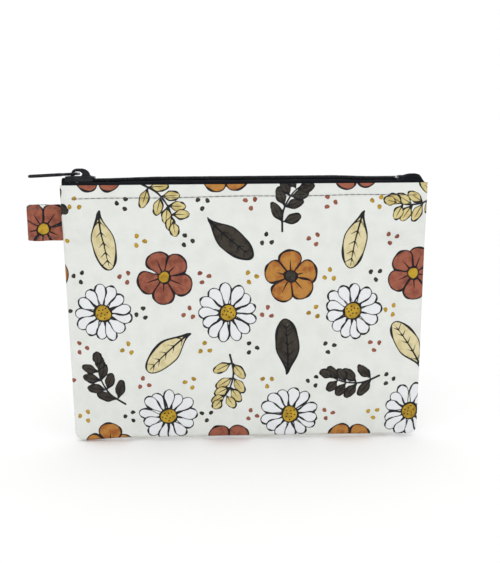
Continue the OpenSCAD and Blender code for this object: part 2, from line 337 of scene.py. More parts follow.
def simulated_walls():
    """The pouch simulated once as closed cloth, swollen by its padding between its seams.

    Gives the unevenness of each wall in millimetres on the grid of SHARES of the half width and
    HEIGHTS. The broad swelling is left out, because wall_y already has it."""
    z, share = np.meshgrid(HEIGHTS, SHARES)
    x, y = share * (half_w(z) - EDGE_R), 0.9 * wall_y(share, z)
    sheets = [np.stack([x, facing * y, z], 2) * SIM_SCALE for facing in FACING.values()]
    pouch, points = closed_pair("swelling", *sheets)
    edge = np.minimum(half_w(z) * (1 - np.abs(share)), np.minimum(z - HEIGHTS[0], HEIGHTS[-1] - z))
    held = 1 - ease(0.5, 3.0, edge) * (1 - ease(STITCH_Z - 2.5, STITCH_Z, z))
    group = pouch.vertex_groups.new(name="held")
    for k, weight in enumerate(np.tile(held.ravel(), 2)):
        group.add([k], float(weight), "REPLACE")
    cloth = pouch.modifiers.new("cloth", "CLOTH")
    cloth.settings.quality = 5
    cloth.settings.mass = 0.3
    cloth.settings.tension_stiffness = cloth.settings.compression_stiffness = 12
    cloth.settings.shear_stiffness = 4
    cloth.settings.bending_stiffness = 0.3
    cloth.settings.use_pressure = True
    cloth.settings.uniform_pressure_force = 0.8
    cloth.settings.shrink_min = -0.006
    cloth.settings.vertex_group_mass = group.name
    cloth.settings.effector_weights.gravity = 0
    cloth.point_cache.frame_end = SIM_FRAMES
    for step in range(1, SIM_FRAMES + 1):
        bpy.context.scene.frame_set(step)
    settled = pouch.evaluated_get(bpy.context.evaluated_depsgraph_get()).data
    place = np.zeros(len(points) * 3)
    settled.vertices.foreach_get("co", place)
    bpy.context.scene.frame_set(1)
    bpy.data.objects.remove(pouch)
    moved = (np.abs(place.reshape(-1, 3)[:, 1]) / MM - np.abs(points[:, 1])) / SIM_SCALE
    walls = {}
    for side, gain in zip(FACING, moved.reshape(2, *z.shape)):
        broad = np.outer(gain.mean(1), gain.mean(0)) / gain.mean()
        walls[side] = np.clip(gain - broad, -1.5, 1.5)
    return walls


WALLS = simulated_walls()


def spline_weights(t):
    """Weights of four neighbouring values for a place between the middle two."""
    return ((1 - t) ** 3 / 6, (3 * t**3 - 6 * t**2 + 4) / 6,
            (1 + 3 * t + 3 * t**2 - 3 * t**3) / 6, t**3 / 6)


def pucker(side, x, z):
    """The simulated unevenness of a wall, smoothed between the points of its grid."""
    x, z = np.broadcast_arrays(np.asarray(x, float), np.asarray(z, float))
    grid = WALLS[side]
    places = []
    for value, marks in ((x / half_w(z), SHARES), (z, HEIGHTS)):
        at = np.clip((value - marks[0]) / (marks[1] - marks[0]), 0, len(marks) - 1.001)
        first = at.astype(int)
        places.append((first, spline_weights(at - first), len(marks) - 1))
    (i, wi, last_i), (j, wj, last_j) = places
    total = np.zeros(x.shape)
    for a in range(4):
        for b in range(4):
            total += wi[a] * wj[b] * grid[np.clip(i + a - 1, 0, last_i), np.clip(j + b - 1, 0, last_j)]
    return total * ease(0, 4, half_w(z) - np.abs(x)) * ease(1, 6, z)


# Unevenness of each wall at three scales: broad waves, folds and fine ripples
soft = {side: (waves(11 + k, 14, 34, 80), waves(21 + k, 18, 9, 22), waves(31 + k, 16, 5, 11))
        for k, side in enumerate(WALL_BODY)}


def layer_y(side, x, z):
    """How far the outer face of a padded wall lies from the middle, with its folds and broad waves."""
    edge = half_w(z) - np.abs(x)
    calm = ease(2, 24, edge) * ease(2, 20, z) * (1 - 0.6 * ease(112, 128, z))
    return wall_y_at(x, z) + 0.40 * soft[side][0](x, z) * calm + 0.8 * pucker(side, x, z)


def stitch_z(side, x):
    """Height of the slightly uneven topstitch row."""
    return STITCH_Z + 0.28 * soft[side][0](x * 0.6, 0)


def creases(side, x, z):
    """Small unevenness of the outer cloth alone."""
    middle, fine = soft[side][1:]
    edge = half_w(z) - np.abs(x)
    out = 0.09 * middle(x, z) * ease(1, 9, edge)
    out = out + 0.17 * bell(edge, 5, 5) * ease(3, 10, z) * fine(x * 0.35, z)
    out = out + 0.15 * bell(z, 6, 5) * fine(x, z * 0.35)
    out = out + 0.10 * bell(z, STITCH_Z, 3.0) * ease(1, 6, edge) * fine(x, z * 0.4)
    groove = bell(z, stitch_z(side, x), 0.55) * ease(3.5, 6, edge)
    return np.maximum(out, -0.3) - 0.22 * groove


# ---------------- floral print
# A generic scattered floral on a half-drop repeat, so a motif's place follows from the repeat
# alone. Every piece of printed cloth is cut from it. Each colour is kept on the cloth's points as
# a signed distance in millimetres to the edge of its painted areas, negative inside, which the
# material turns into washes and ink lines.

LAYERS = ("white", "khaki", "straw", "ochre", "amber", "rust", "brown", "ink")
FAR = 3.0
REPEAT_X, REPEAT_Z = 31.0, 36.0
MOTIF_SIZE, MOTIF_REACH = 1.1, 24.0
CUT = {"front": (9.0, 4.0), "back": (-22.0, 13.0), "tab": (-12.0, 3.0)}


def smooth_line(points, closed=False, step=8):
    """A Catmull-Rom curve through the points."""
    p = np.asarray(points, float)
    n = len(p)
    out = []
    for k in range(n if closed else n - 1):
        if closed:
            a, b, c, d = p[k - 1], p[k], p[(k + 1) % n], p[(k + 2) % n]
        else:
            a, b, c, d = p[max(k - 1, 0)], p[k], p[k + 1], p[min(k + 2, n - 1)]
        for t in np.arange(step) / step:
            out.append(0.5 * (2 * b + (c - a) * t + (2 * a - 5 * b + 4 * c - d) * t**2
                              + (3 * b - a - 3 * c + d) * t**3))
    if not closed:
        out.append(p[-1])
    return np.array(out)


def polar(angle, length):
    """A vector from its angle in degrees and its length."""
    a = math.radians(angle)
    return np.array([math.cos(a), math.sin(a)]) * length


def to_segment(x, z, a, b):
    """The share along a line from a to b that is nearest to each point, and how far it is off."""
    (ax, az), (dx, dz) = a, b - a
    t = np.clip(((x - ax) * dx + (z - az) * dz) / max(dx * dx + dz * dz, 1e-9), 0, 1)
    return t, np.hypot(x - ax - t * dx, z - az - t * dz)


class Print:
    """The cloth's points, and how far each lies from the painted areas of every colour."""

    def __init__(self, flat):
        self.p = flat
        self.d = {k: np.full(len(flat), FAR) for k in LAYERS}
        self.at(0, 0)

    def at(self, x, z, turn=0.0, size=1.0):
        self.origin, self.turn, self.size = np.array([x, z], float), math.radians(turn), size

    def place(self, points):
        q = np.asarray(points, float) * self.size
        c, s = math.cos(self.turn), math.sin(self.turn)
        return q @ np.array([[c, s], [-s, c]]) + self.origin

    def near(self, q, margin):
        """The points a shape can reach, and far distances for all to start from."""
        low, high = q.min(0) - margin, q.max(0) + margin
        near = np.nonzero(((self.p > low) & (self.p < high)).all(1))[0]
        return near, np.full(len(self.p), FAR)

    def area(self, outline):
        """Signed distance to a closed outline."""
        q = self.place(outline)
        k, d = self.near(q, FAR)
        x, z = self.p[k].T
        best = d[k]
        inside = np.zeros(len(k), bool)
        for a, b in zip(q, np.roll(q, -1, 0)):
            best = np.minimum(best, to_segment(x, z, a, b)[1])
            rise = b[1] - a[1]
            crosses = (a[1] > z) != (b[1] > z)
            inside ^= crosses & (x < a[0] + (z - a[1]) * (b[0] - a[0]) / (rise if rise else 1e-9))
        d[k] = best * np.where(inside, -1, 1)
        return d

    def line(self, points, widths):
        """Signed distance to a stroke whose half-width varies along it."""
        q = self.place(points)
        share = np.linspace(0, 1, len(q))
        w = np.interp(share, np.linspace(0, 1, len(widths)), widths) * self.size
        k, d = self.near(q, FAR + w.max())
        x, z = self.p[k].T
        best = d[k]
        for m in range(len(q) - 1):
            t, gap = to_segment(x, z, q[m], q[m + 1])
            best = np.minimum(best, gap - (w[m] + t * (w[m + 1] - w[m])))
        d[k] = best
        return d

    def paint(self, layer, d):
        self.d[layer] = np.minimum(self.d[layer], d)

    def clear(self, d):
        for k in LAYERS:
            self.d[k] = np.maximum(self.d[k], -d)

    def wash(self, layer, outline, over=True):
        """Fills an outline with a colour, over what is there or mixed in with it."""
        d = self.area(outline)
        if over:
            self.clear(d)
        self.paint(layer, d)

    def stroke(self, points, widths):
        self.paint("ink", self.line(points, widths))

    def outline(self, points, rng, width):
        """An ink line round a closed shape, thick and thin as a brush leaves it."""
        n = len(points)
        turn = np.linspace(0, 2 * math.pi, n)
        press = 0.95 + 0.55 * np.sin(rng.integers(1, 4) * turn + rng.uniform(0, 6))
        w = width * np.clip(press + 0.3 * np.sin(5 * turn + rng.uniform(0, 6)), 0.72, 1.7)
        self.stroke(np.concatenate([points, points[:1]]), np.append(w, w[0]))


def petal(angle, r0, r1, width, bend=0.0, full=0.68, foot=0.20, n=24):
    """Outline and middle line of a petal, fullest at a share of its length, that leaves the centre."""
    t = np.sin(np.linspace(0, 1, n) * math.pi / 2) ** 1.15
    length = r1 - r0
    way, side = polar(angle, 1), polar(angle + 90, 1)
    middle = (r0 + length * t)[:, None] * way + (0.5 * bend * length * t**1.6)[:, None] * side
    tip = np.sqrt(np.clip(1 - (np.clip(t - full, 0, 1) / (1 - full)) ** 2, 0, 1))
    half = width / 2 * (foot + (1 - foot) * ease(0, full, t)) * tip
    run = np.gradient(middle, axis=0)
    run /= np.linalg.norm(run, axis=1)[:, None] + 1e-9
    normal = np.stack([-run[:, 1], run[:, 0]], 1)
    reach = half[:, None] * normal
    return np.concatenate([middle + reach, (middle - reach)[::-1][1:-1]]), middle


def blob(r, rng, rough=0.10, n=20):
    a = np.linspace(0, 2 * math.pi, n, endpoint=False)
    uneven = 1 + rough * (np.sin(2 * a + rng.uniform(0, 6)) + 0.6 * np.sin(3 * a + rng.uniform(0, 6)))
    return np.stack([r * uneven * np.cos(a), r * uneven * np.sin(a)], 1)


def blossom(art, rng, wash, heart):
    """Five broad petals round a small heart."""
    for k in range(5):
        shape, middle = petal(72 * k + rng.uniform(-6, 6), 1.5, rng.uniform(11.5, 13),
                              rng.uniform(9.5, 11), rng.uniform(-0.15, 0.15), 0.62, 0.35)
        art.wash(wash, shape)
        art.outline(shape, rng, 0.34)
        art.stroke(middle[3:int(rng.integers(9, 14))], [0.35, 0.25, 0.1])
    centre = blob(2.7, rng, 0.06)
    art.wash(heart, centre)
    art.outline(centre, rng, 0.34)


def daisy(art, rng):
    """Narrow white petals round a plain ochre centre."""
    for k in range(13):
        shape, _ = petal(k * 360 / 13 + rng.uniform(-4, 4), 3, rng.uniform(12, 14),
                         rng.uniform(4.8, 5.8), rng.uniform(-0.12, 0.12))
        art.wash("white", shape)
        art.outline(shape, rng, 0.30)
    centre = blob(3.9, rng, 0.04)
    art.wash("ochre", centre)
    art.outline(centre, rng, 0.36)
    for k in range(9):
        art.wash("ink", blob(0.4, rng, n=8) + polar(k * 137.5, 0.95 * math.sqrt(k + 0.5)), over=False)


def sprig(art, rng, wash):
    """A bowed stem with paired leaves and one at its tip."""
    stem = smooth_line([(-13, -2.5), (-5, 1.0), (3, 1.0), (8.5, -1.0)])
    art.stroke(stem, [0.5, 0.4, 0.25])
    leaves = [(share, side * rng.uniform(42, 56))
              for share in (0.2, 0.42, 0.64, 0.84) for side in (-1, 1)]
    for share, angle in leaves + [(1.0, -28)]:
        base = stem[int(share * (len(stem) - 1))]
        length = rng.uniform(8.6, 10) * (1.1 - 0.35 * share)
        shape, middle = petal(angle, 0.6, length, 4.2, 0.0, 0.45, 0.08)
        art.wash(wash, shape + base)
        art.outline(shape + base, rng, 0.26)
        art.stroke(middle[2:-8] + base, [0.22, 0.2, 0.1])


def leaf(art, rng, wash):
    """One bowed leaf with its veins."""
    shape, middle = petal(0, -13, 13, 10.5, rng.uniform(0.2, 0.35), 0.5, 0.06)
    art.wash(wash, shape)
    art.outline(shape, rng, 0.36)
    art.stroke(middle[1:-4], [0.45, 0.3, 0.15])
    for start in middle[3:17:3]:
        for side in (-1, 1):
            art.stroke([start, start + polar(side * 44, 3.4)], [0.28, 0.12])


def dots(art, rng, wash):
    for k in range(3):
        art.wash(wash, blob(1.15, rng) + polar(120 * k, 2.7), over=False)


MOTIFS = ((blossom, "rust", "ochre"), (sprig, "brown"), (daisy,), (leaf, "khaki"),
          (blossom, "amber", "brown"), (sprig, "straw"), (daisy,), (leaf, "brown"))


def floral(art):
    """Every motif of the repeat that can reach the cloth, with dots in the gaps between."""
    low, high = art.p.min(0) - MOTIF_REACH, art.p.max(0) + MOTIF_REACH
    for column in range(math.floor(low[0] / REPEAT_X), math.ceil(high[0] / REPEAT_X) + 1):
        for row in range(math.floor(low[1] / REPEAT_Z) - 1, math.ceil(high[1] / REPEAT_Z) + 1):
            rng = np.random.default_rng([column + 100, row + 100])
            x, z = column * REPEAT_X, (row + 0.5 * (column % 2)) * REPEAT_Z
            draw, *washes = MOTIFS[(2 * column + 5 * row) % len(MOTIFS)]
            art.at(x, z, rng.uniform(0, 360), MOTIF_SIZE)
            draw(art, rng, *washes)
            for side in (-1, 1):
                art.at(x + side * 0.375 * REPEAT_X, z + REPEAT_Z / 2, rng.uniform(0, 360))
                dots(art, rng, ("ochre", "rust", "brown")[(column + row + side) % 3])


def print_on(obj, flat, shift):
    """Prints the repeat on a piece of cloth cut from it at a place of its own."""
    art = Print(np.asarray(flat, float) + shift)
    floral(art)
    for layer in LAYERS:
        keep(obj, layer, art.d[layer])


# ---------------- materials

SOCKETS = {"color": "Base Color", "rough": "Roughness", "metal": "Metallic", "normal": "Normal",
           "sheen": "Sheen Weight", "sheen_rough": "Sheen Roughness",
           "specular": "Specular IOR Level", "coat": "Coat Weight", "coat_rough": "Coat Roughness"}


class Nodes:
    """Short names for building a material's nodes."""

    def __init__(self, name):
        self.material = bpy.data.materials.new(name)
        self.material.use_nodes = True
        self.tree = self.material.node_tree
        self.shader = self.tree.nodes["Principled BSDF"]

    @property
    def place(self):
        """Where a point of the piece lay before it bent, in millimetres."""
        return self.read("place_mm", "Vector")

    def node(self, kind, inputs=None, **settings):
        n = self.tree.nodes.new(kind)
        for key, value in settings.items():
            setattr(n, key, value)
        for key, value in (inputs or {}).items():
            self.feed(n.inputs[key], value)
        return n

    def feed(self, socket, value):
        if isinstance(value, bpy.types.NodeSocket):
            self.tree.links.new(value, socket)
        else:
            socket.default_value = value

    def math(self, operation, a, b=0.0, c=0.0, clamp=False):
        n = self.node("ShaderNodeMath", {0: a, 1: b, 2: c}, operation=operation, use_clamp=clamp)
        return n.outputs[0]

    def ramp(self, value, low, high, to_low=0.0, to_high=1.0):
        n = self.node("ShaderNodeMapRange", {"Value": value, "From Min": low, "From Max": high,
                                             "To Min": to_low, "To Max": to_high},
                      interpolation_type="SMOOTHSTEP")
        return n.outputs[0]

    def read(self, name, output="Fac"):
        return self.node("ShaderNodeAttribute", attribute_name=name).outputs[output]

    def noise(self, vector, scale, detail=3.0, rough=0.6):
        n = self.node("ShaderNodeTexNoise", {"Vector": vector, "Scale": scale, "Detail": detail,
                                             "Roughness": rough})
        return n.outputs["Fac"]

    def stretch(self, vector, scale):
        return self.node("ShaderNodeMapping", {"Vector": vector, "Scale": scale}).outputs[0]

    def mix(self, share, a, b):
        n = self.node("ShaderNodeMix", data_type="RGBA")
        self.feed(n.inputs[0], share)
        self.feed(n.inputs[6], a)
        self.feed(n.inputs[7], b)
        return n.outputs[2]

    def bump(self, height, distance, strength=1.0, normal=None):
        inputs = {"Height": height, "Distance": distance, "Strength": strength}
        if normal is not None:
            inputs["Normal"] = normal
        return self.node("ShaderNodeBump", inputs).outputs[0]

    def set(self, **values):
        for key, value in values.items():
            self.feed(self.shader.inputs[SOCKETS[key]], value)
        return self.material


def rgb(r, g, b):
    """An sRGB colour from 0 to 255 as the shader takes it."""
    linear = [c / 255 / 12.92 if c <= 10 else ((c / 255 + 0.055) / 1.055) ** 2.4 for c in (r, g, b)]
    return (*linear, 1.0)


def weave(m, place, pitch):
    """Height of a plain weave in the plane of the cloth."""
    split = m.node("ShaderNodeSeparateXYZ", {0: place})
    k = math.pi / pitch
    across = m.math("SINE", m.math("MULTIPLY", split.outputs["X"], k))
    along = m.math("SINE", m.math("MULTIPLY", split.outputs["Z"], k))
    checks = m.math("MULTIPLY", across, along)
    ridges = m.math("ADD", m.math("ABSOLUTE", across), m.math("ABSOLUTE", along))
    return m.math("MULTIPLY_ADD", ridges, 0.35, checks)


# Each wash: its thin colour, the colour where it pools, and how far it covers the cloth
WASHES = {
    "white": (rgb(222, 224, 226), rgb(217, 219, 221), 1.0),
    "khaki": (rgb(212, 200, 156), rgb(192, 178, 124), 0.92),
    "straw": (rgb(205, 190, 128), rgb(178, 156, 82), 0.92),
    "ochre": (rgb(186, 151, 48), rgb(146, 114, 32), 1.0),
    "amber": (rgb(176, 124, 60), rgb(148, 86, 40), 1.0),
    "rust": (rgb(152, 90, 70), rgb(120, 66, 52), 1.0),
    "brown": (rgb(60, 55, 48), rgb(42, 37, 32), 1.0),
}


def printed_cotton():
    m = Nodes("printed_cotton")
    place = m.place
    fine = m.noise(place, 2.6)
    grain = m.noise(place, 0.9, 4.0, 0.65)
    cloud = m.noise(place, 0.13, 3.0, 0.55)
    wobble = m.math("MULTIPLY_ADD", fine, 0.30, m.math("MULTIPLY_ADD", grain, 0.6, -0.45))
    color = m.mix(m.ramp(cloud, 0.35, 0.7), rgb(219, 221, 217), rgb(214, 216, 211))
    for layer, (light, dark, strength) in WASHES.items():
        d = m.math("ADD", m.read(layer), wobble)
        inside = m.ramp(d, 0.10, -0.10, 0.0, strength)
        rim_share = m.ramp(d, -1.1, 0.0, 0.0, 0.45)
        blotch = m.ramp(m.noise(place, 0.15 + 0.02 * len(layer)), 0.40, 0.70)
        pool = m.math("ADD", rim_share, blotch, clamp=True)
        wet = m.mix(pool, light, dark)
        thin = m.math("MULTIPLY", inside, m.ramp(grain, 0.15, 0.42, 0.86, 1.0))
        color = m.mix(thin, color, wet)
    ink_d = m.math("MULTIPLY_ADD", m.math("ADD", fine, -0.5), 0.16, m.read("ink"))
    ink = m.ramp(ink_d, 0.07, -0.07, 0.0, 0.985)
    color = m.mix(ink, color, rgb(19, 20, 26))
    yarn = weave(m, place, 0.42)
    # painted shade: the hollows of the weave are darkened up to 7% towards dark grey
    color_weave_shade = m.mix(m.ramp(yarn, -1.0, 1.2, 0.07, 0.0), color, rgb(70, 68, 64))
    height = m.math("MULTIPLY_ADD", m.noise(place, 1.3), 0.8, yarn)
    normal = m.bump(height, 0.00005, 0.55)
    normal = m.bump(m.noise(place, 0.09, 3.0, 0.5), 0.0006, 0.5, normal)
    rough = m.ramp(yarn, -1.0, 1.2, 0.72, 0.60)
    return m.set(color=color_weave_shade, rough=rough, normal=normal, sheen=0.02, sheen_rough=0.45,
                 specular=0.11)


def plain_cloth(name, base, other, pitch):
    m = Nodes(name)
    place = m.place
    yarn = weave(m, place, pitch)
    tint = m.math("MULTIPLY_ADD", m.noise(place, 0.3, 4.0, 0.6), 0.7, m.math("MULTIPLY", yarn, 0.12))
    color = m.mix(m.ramp(tint, 0.1, 0.6), base, other)
    height = m.math("MULTIPLY_ADD", m.noise(place, 1.1), 0.9, yarn)
    rough = m.ramp(yarn, -1.0, 1.2, 0.88, 0.8)
    return m.set(color=color, rough=rough, normal=m.bump(height, 0.00005, 0.6), sheen=0.15,
                 sheen_rough=0.5, specular=0.3)


def tape_cloth():
    """Twill tape: fine ribs along the zipper."""
    m = Nodes("zipper_tape_twill")
    place = m.place
    split = m.node("ShaderNodeSeparateXYZ", {0: place})
    across = m.math("ADD", split.outputs["Y"], split.outputs["Z"])
    slant = m.math("MULTIPLY_ADD", across, 3.0, m.math("MULTIPLY", split.outputs["X"], 4.4))
    rib = m.math("SINE", m.math("MULTIPLY", slant, 2.2))
    blur = m.noise(place, 1.6)
    shade = m.ramp(m.math("MULTIPLY_ADD", rib, 0.25, blur), 0.2, 0.9)
    color = m.mix(shade, rgb(9, 10, 15), rgb(21, 23, 31))
    height = m.math("MULTIPLY_ADD", blur, 0.8, rib)
    return m.set(color=color, rough=m.ramp(rib, -1, 1, 0.95, 0.82), normal=m.bump(height, 0.00007, 0.6),
                 sheen=0.03, sheen_rough=0.5, specular=0.12)


def coil_nylon():
    m = Nodes("coil_nylon")
    place = m.place
    spots = m.noise(place, 1.8)
    color = m.mix(m.ramp(spots, 0.3, 0.7), rgb(10, 11, 15), rgb(20, 22, 29))
    return m.set(color=color, rough=m.ramp(spots, 0.3, 0.7, 0.42, 0.58),
                 normal=m.bump(spots, 0.00003, 0.4), specular=0.25)


def thread(name, base, other):
    m = Nodes(name)
    place = m.place
    twist = m.node("ShaderNodeTexWave", {"Vector": m.stretch(place, (1.0, 1.0, 3.0)), "Scale": 1.6,
                                         "Distortion": 0.6, "Detail": 1.0}, bands_direction="DIAGONAL")
    color = m.mix(m.ramp(twist.outputs["Fac"], 0.2, 0.8), base, other)
    return m.set(color=color, rough=0.7, normal=m.bump(twist.outputs["Fac"], 0.00006, 0.7), sheen=0.15)


def black_metal():
    """Sprayed black zinc, with tiny pits and edges rubbed a little brighter."""
    m = Nodes("black_enamelled_zinc")
    place = m.place
    edge = m.read("edge")
    pits = m.noise(place, 3.2, 4.0, 0.65)
    smear = m.noise(place, 0.5)
    worn = m.math("MULTIPLY", m.ramp(edge, 0.55, 1.0), m.ramp(smear, 0.48, 0.66), clamp=True)
    color = m.mix(m.ramp(smear, 0.3, 0.7), rgb(12, 13, 17), rgb(24, 25, 31))
    color = m.mix(worn, color, rgb(96, 94, 92))
    rough = m.math("MULTIPLY_ADD", smear, 0.26, 0.22)
    return m.set(color=color, rough=rough, metal=0.35, normal=m.bump(pits, 0.00002, 0.5), specular=0.22,
                 coat=0.05, coat_rough=0.25)


COTTON = printed_cotton()
LINING = plain_cloth("lining_cotton", rgb(226, 222, 208), rgb(214, 208, 192), 0.36)
ALLOWANCE = plain_cloth("seam_allowance_cotton", rgb(226, 224, 216), rgb(206, 202, 192), 0.42)
TAPE = tape_cloth()
NYLON = coil_nylon()
GREY_THREAD = thread("grey_thread", rgb(88, 87, 88), rgb(62, 61, 63))
BLACK_THREAD = thread("black_thread", rgb(11, 12, 16), rgb(26, 28, 34))
METAL = black_metal()


def finish_piece(obj, material):
    obj.data.materials.append(material)


# ---------------- walls

HALVES = ("left", "right")


def bend_with_wall(obj):
    """Moves the piece's transform into its points."""
    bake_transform(obj)


def columns(half, cell):
    """Shares of the half width, and the turn of the cloth round the side edge there."""
    flat_w = TOP_W / 2 - EDGE_R
    inner = np.linspace(0, 1, int(round(flat_w / cell)) + 1)
    turn = np.linspace(0, 1, max(4, int(round(3.2 / cell))) + 1)[1:]
    share = np.concatenate([inner, np.ones(len(turn))])
    turn = np.concatenate([np.zeros(len(inner)), turn * 0.94 * math.pi / 2])
    return (-share[::-1], turn[::-1]) if half == "left" else (share, turn)


def cloth_rows(cell):
    """Heights, turns round the bottom edge, and steps round the fold at the mouth."""
    foot = np.linspace(0.94 * math.pi / 2, 0, max(4, int(round(3.2 / cell))) + 1)[:-1]
    main = np.linspace(EDGE_R + 0.3, FOLD_Z, int(round((WALL_H - 3.2) / cell)) + 1)
    fold = np.linspace(0, math.pi, 9)[1:]
    return foot, main, fold


def outer_grid(side, half, cell):
    share, turn = columns(half, cell)
    foot, main, fold = cloth_rows(cell)
    z = np.concatenate([EDGE_R + 0.3 - EDGE_R * np.sin(foot), main, np.full(len(fold), FOLD_Z)])
    tuck = np.concatenate([np.cos(foot), np.ones(len(main) + len(fold))])
    z2, s2 = np.meshgrid(z, share)
    tuck2, turn2 = np.meshgrid(tuck, turn)
    width = half_w(np.maximum(z2, 0.3))
    flat_x = width - EDGE_R
    x = s2 * flat_x + np.sign(s2) * EDGE_R * np.sin(turn2)
    lie = layer_y(side, s2 * flat_x, np.maximum(z2, 0.3)) + creases(side, x, z2)
    y = lie * np.cos(turn2) * tuck2
    # the fold at the mouth turns the cloth in and down
    start = len(foot) + len(main)
    r = FOLD_R * np.cos(turn2[:, start:])
    y[:, start:] = y[:, start:] - r * (1 - np.cos(fold))[None]
    z_out = z2.copy()
    z_out[:, start:] += 0.9 * np.sin(fold)[None] - 0.6 * (fold / math.pi)[None] ** 4
    drop = 1 - ease(0, 14, z2)
    z_out += (bottom_z(x) - 0.15) * drop
    y = np.maximum(y, 0.06)
    return np.stack([x, FACING[side] * y, z_out], 2)


def inner_grid(side, half, depth, z0, z1):
    """A coarser face of a wall, depth inside its outer one."""
    n = int(round(TOP_W / 2 / LINING_CELL))
    share = np.linspace(0, 1, n + 1)
    share = -share[::-1] if half == "left" else share
    z = np.linspace(z0, z1, int(round((z1 - z0) / LINING_CELL)) + 1)
    z2, s2 = np.meshgrid(z, share)
    x = s2 * (half_w(np.maximum(z2, 0.3)) - EDGE_R - 1.2)
    y = np.maximum(layer_y(side, x, z2) - depth, 0.12 + 0.1 * (LINING_BACK - depth))
    return np.stack([x, FACING[side] * y, z2], 2)


def make_wall(side):
    cell = 0.40
    for half in HALVES:
        outer = outer_grid(side, half, cell)
        inner = inner_grid(side, half, PADDING_IN, 3.0, WALL_H - 1.6)
        cloth, points = closed_pair(f"{side}_cloth_{half}", outer, inner)
        keep_place(cloth, points)
        mirrored = points[:, [0, 2]] * [1 if side == "front" else -1, 1]
        print_on(cloth, mirrored, CUT[side])
        finish_piece(cloth, COTTON)
        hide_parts(f"{side}_panel", f"{side}_fleece")
        bend_with_wall(cloth)

        faces = [inner_grid(side, half, depth, 2.5, WALL_H - 0.8) for depth in (LINING_IN, LINING_BACK)]
        lining, points = closed_pair(f"{side}_lining_{half}", *faces)
        keep_place(lining, points)
        finish_piece(lining, LINING)
        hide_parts(f"{side}_lining")
        bend_with_wall(lining)


# ---------------- zipper

def zipper_rise(x):
    """How far the zipper rises: a low arch, a bulge at the right seam and a curl at the left end."""
    x = np.asarray(x, float)
    bulge = 3.0 * bell(x, 82.8, 6.8) * ease(73.5, 80, x) - 3.4 * ease(85.2, 89.4, x)
    arch = 0.58 * ease(-72, -40, x) * (1 - ease(42, 63, x))
    return arch + bulge + 1.9 * ease(-87.2, -88.5, x)


def make_tape(side):
    for half in HALVES:
        x0, x1 = (tape_low.x, 0.0) if half == "left" else (0.0, tape_high.x)
        xs = np.linspace(x0, x1, int(abs(x1 - x0) / 0.8) + 1)
        notch = 1.45 - 1.2 * ease(coil_low.x - 0.8, coil_low.x - 0.1, xs)
        w = layer_y(side, xs, WALL_H) - TAPE_IN
        sag = 0.12 * np.sin(xs * 0.31) + 0.06 * np.sin(xs * 1.07 + 1)
        lift = zipper_rise(xs)
        rows = {-1: [], 1: []}
        for face in rows:
            for z in (WALL_H - 6.6, WALL_H - 4.0, WALL_H - 1.6):
                deep = layer_y(side, xs, z) - TAPE_IN
                rows[face].append((deep + face * TAPE_HALF_T, np.full(len(xs), z)))
            for a in np.linspace(0, math.pi / 2, 7):
                r = TAPE_CORNER_R + 0.25 * face
                rise = lift * (a / (math.pi / 2)) ** 0.7
                rows[face].append((w - TAPE_CORNER_R + r * math.cos(a),
                                   TAPE_Z - TAPE_CORNER_R + r * math.sin(a) + rise))
            for t in (0.35, 0.7, 1.0):
                y = (w - TAPE_CORNER_R) * (1 - t) + notch * t
                rows[face].append((y, TAPE_Z + face * 0.25 + sag * math.sin(math.pi * t) + lift))
        grids = [np.stack([np.stack([xs, FACING[side] * np.maximum(y, 0.1), z], 1)
                           for y, z in rows[face]], 1) for face in (1, -1)]
        tape, points = closed_pair(f"{side}_zipper_tape_{half}", *grids)
        keep_place(tape, points)
        finish_piece(tape, TAPE)
        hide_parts(f"{side}_zipper_tape")
        bend_with_wall(tape)


def make_coil(side):
    """A row of coil: one nylon wire wound round a cord into loops, sewn down with two threads."""
    shift = 0.0 if side == "front" else COIL_PITCH / 2
    middle_z = (coil_low.z + coil_high.z) / 2 - 0.06
    start = coil_low.x + 0.3 + shift
    centre_turn, last_turn = (int(math.floor((x - start) / COIL_PITCH))
                              for x in (0.0, coil_high.x - 0.3))
    for half, first, last in (("left", 0, centre_turn), ("right", centre_turn, last_turn)):
        t = np.linspace(first, last, (last - first) * COIL_TURN_POINTS + 1)
        x = start + t * COIL_PITCH
        a = 2 * math.pi * t
        head = np.clip(-np.cos(a), 0, 1) ** 6
        y = 1.18 + 1.42 * np.cos(a) - 0.04 * head
        z = middle_z + 0.64 * np.sin(a) + zipper_rise(x)
        wire = tube(np.stack([x, FACING[side] * y, z], 1), 0.30 + 0.05 * head, 7, across=(1, 0, 0))
        xs = np.linspace(x[0], x[-1], 2 * (last - first) + 1)
        core_y, core_z = np.full(len(xs), FACING[side] * 1.2), middle_z - 0.36 + zipper_rise(xs)
        core = tube(np.stack([xs, core_y, core_z], 1), 0.66, 10)
        coil = make_piece(f"{side}_coil_{half}", [wire, core], NYLON)
        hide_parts(f"{side}_coil")
        bend_with_wall(coil)

        seams = []
        for row_y, row_z in ((1.35, 0.92), (2.3, 0.66)):
            xs = np.linspace(x[0], x[-1], int((x[-1] - x[0]) / 0.3))
            ys = row_y + 0.13 * np.sin(2 * math.pi * xs / COIL_PITCH)
            zs = middle_z + row_z + 0.06 * np.cos(4 * math.pi * xs / COIL_PITCH) + zipper_rise(xs)
            seams.append(tube(np.stack([xs, FACING[side] * ys, zs], 1), 0.12, 6))
        seam = make_piece(f"{side}_coil_thread_{half}", seams, BLACK_THREAD)
        bend_with_wall(seam)


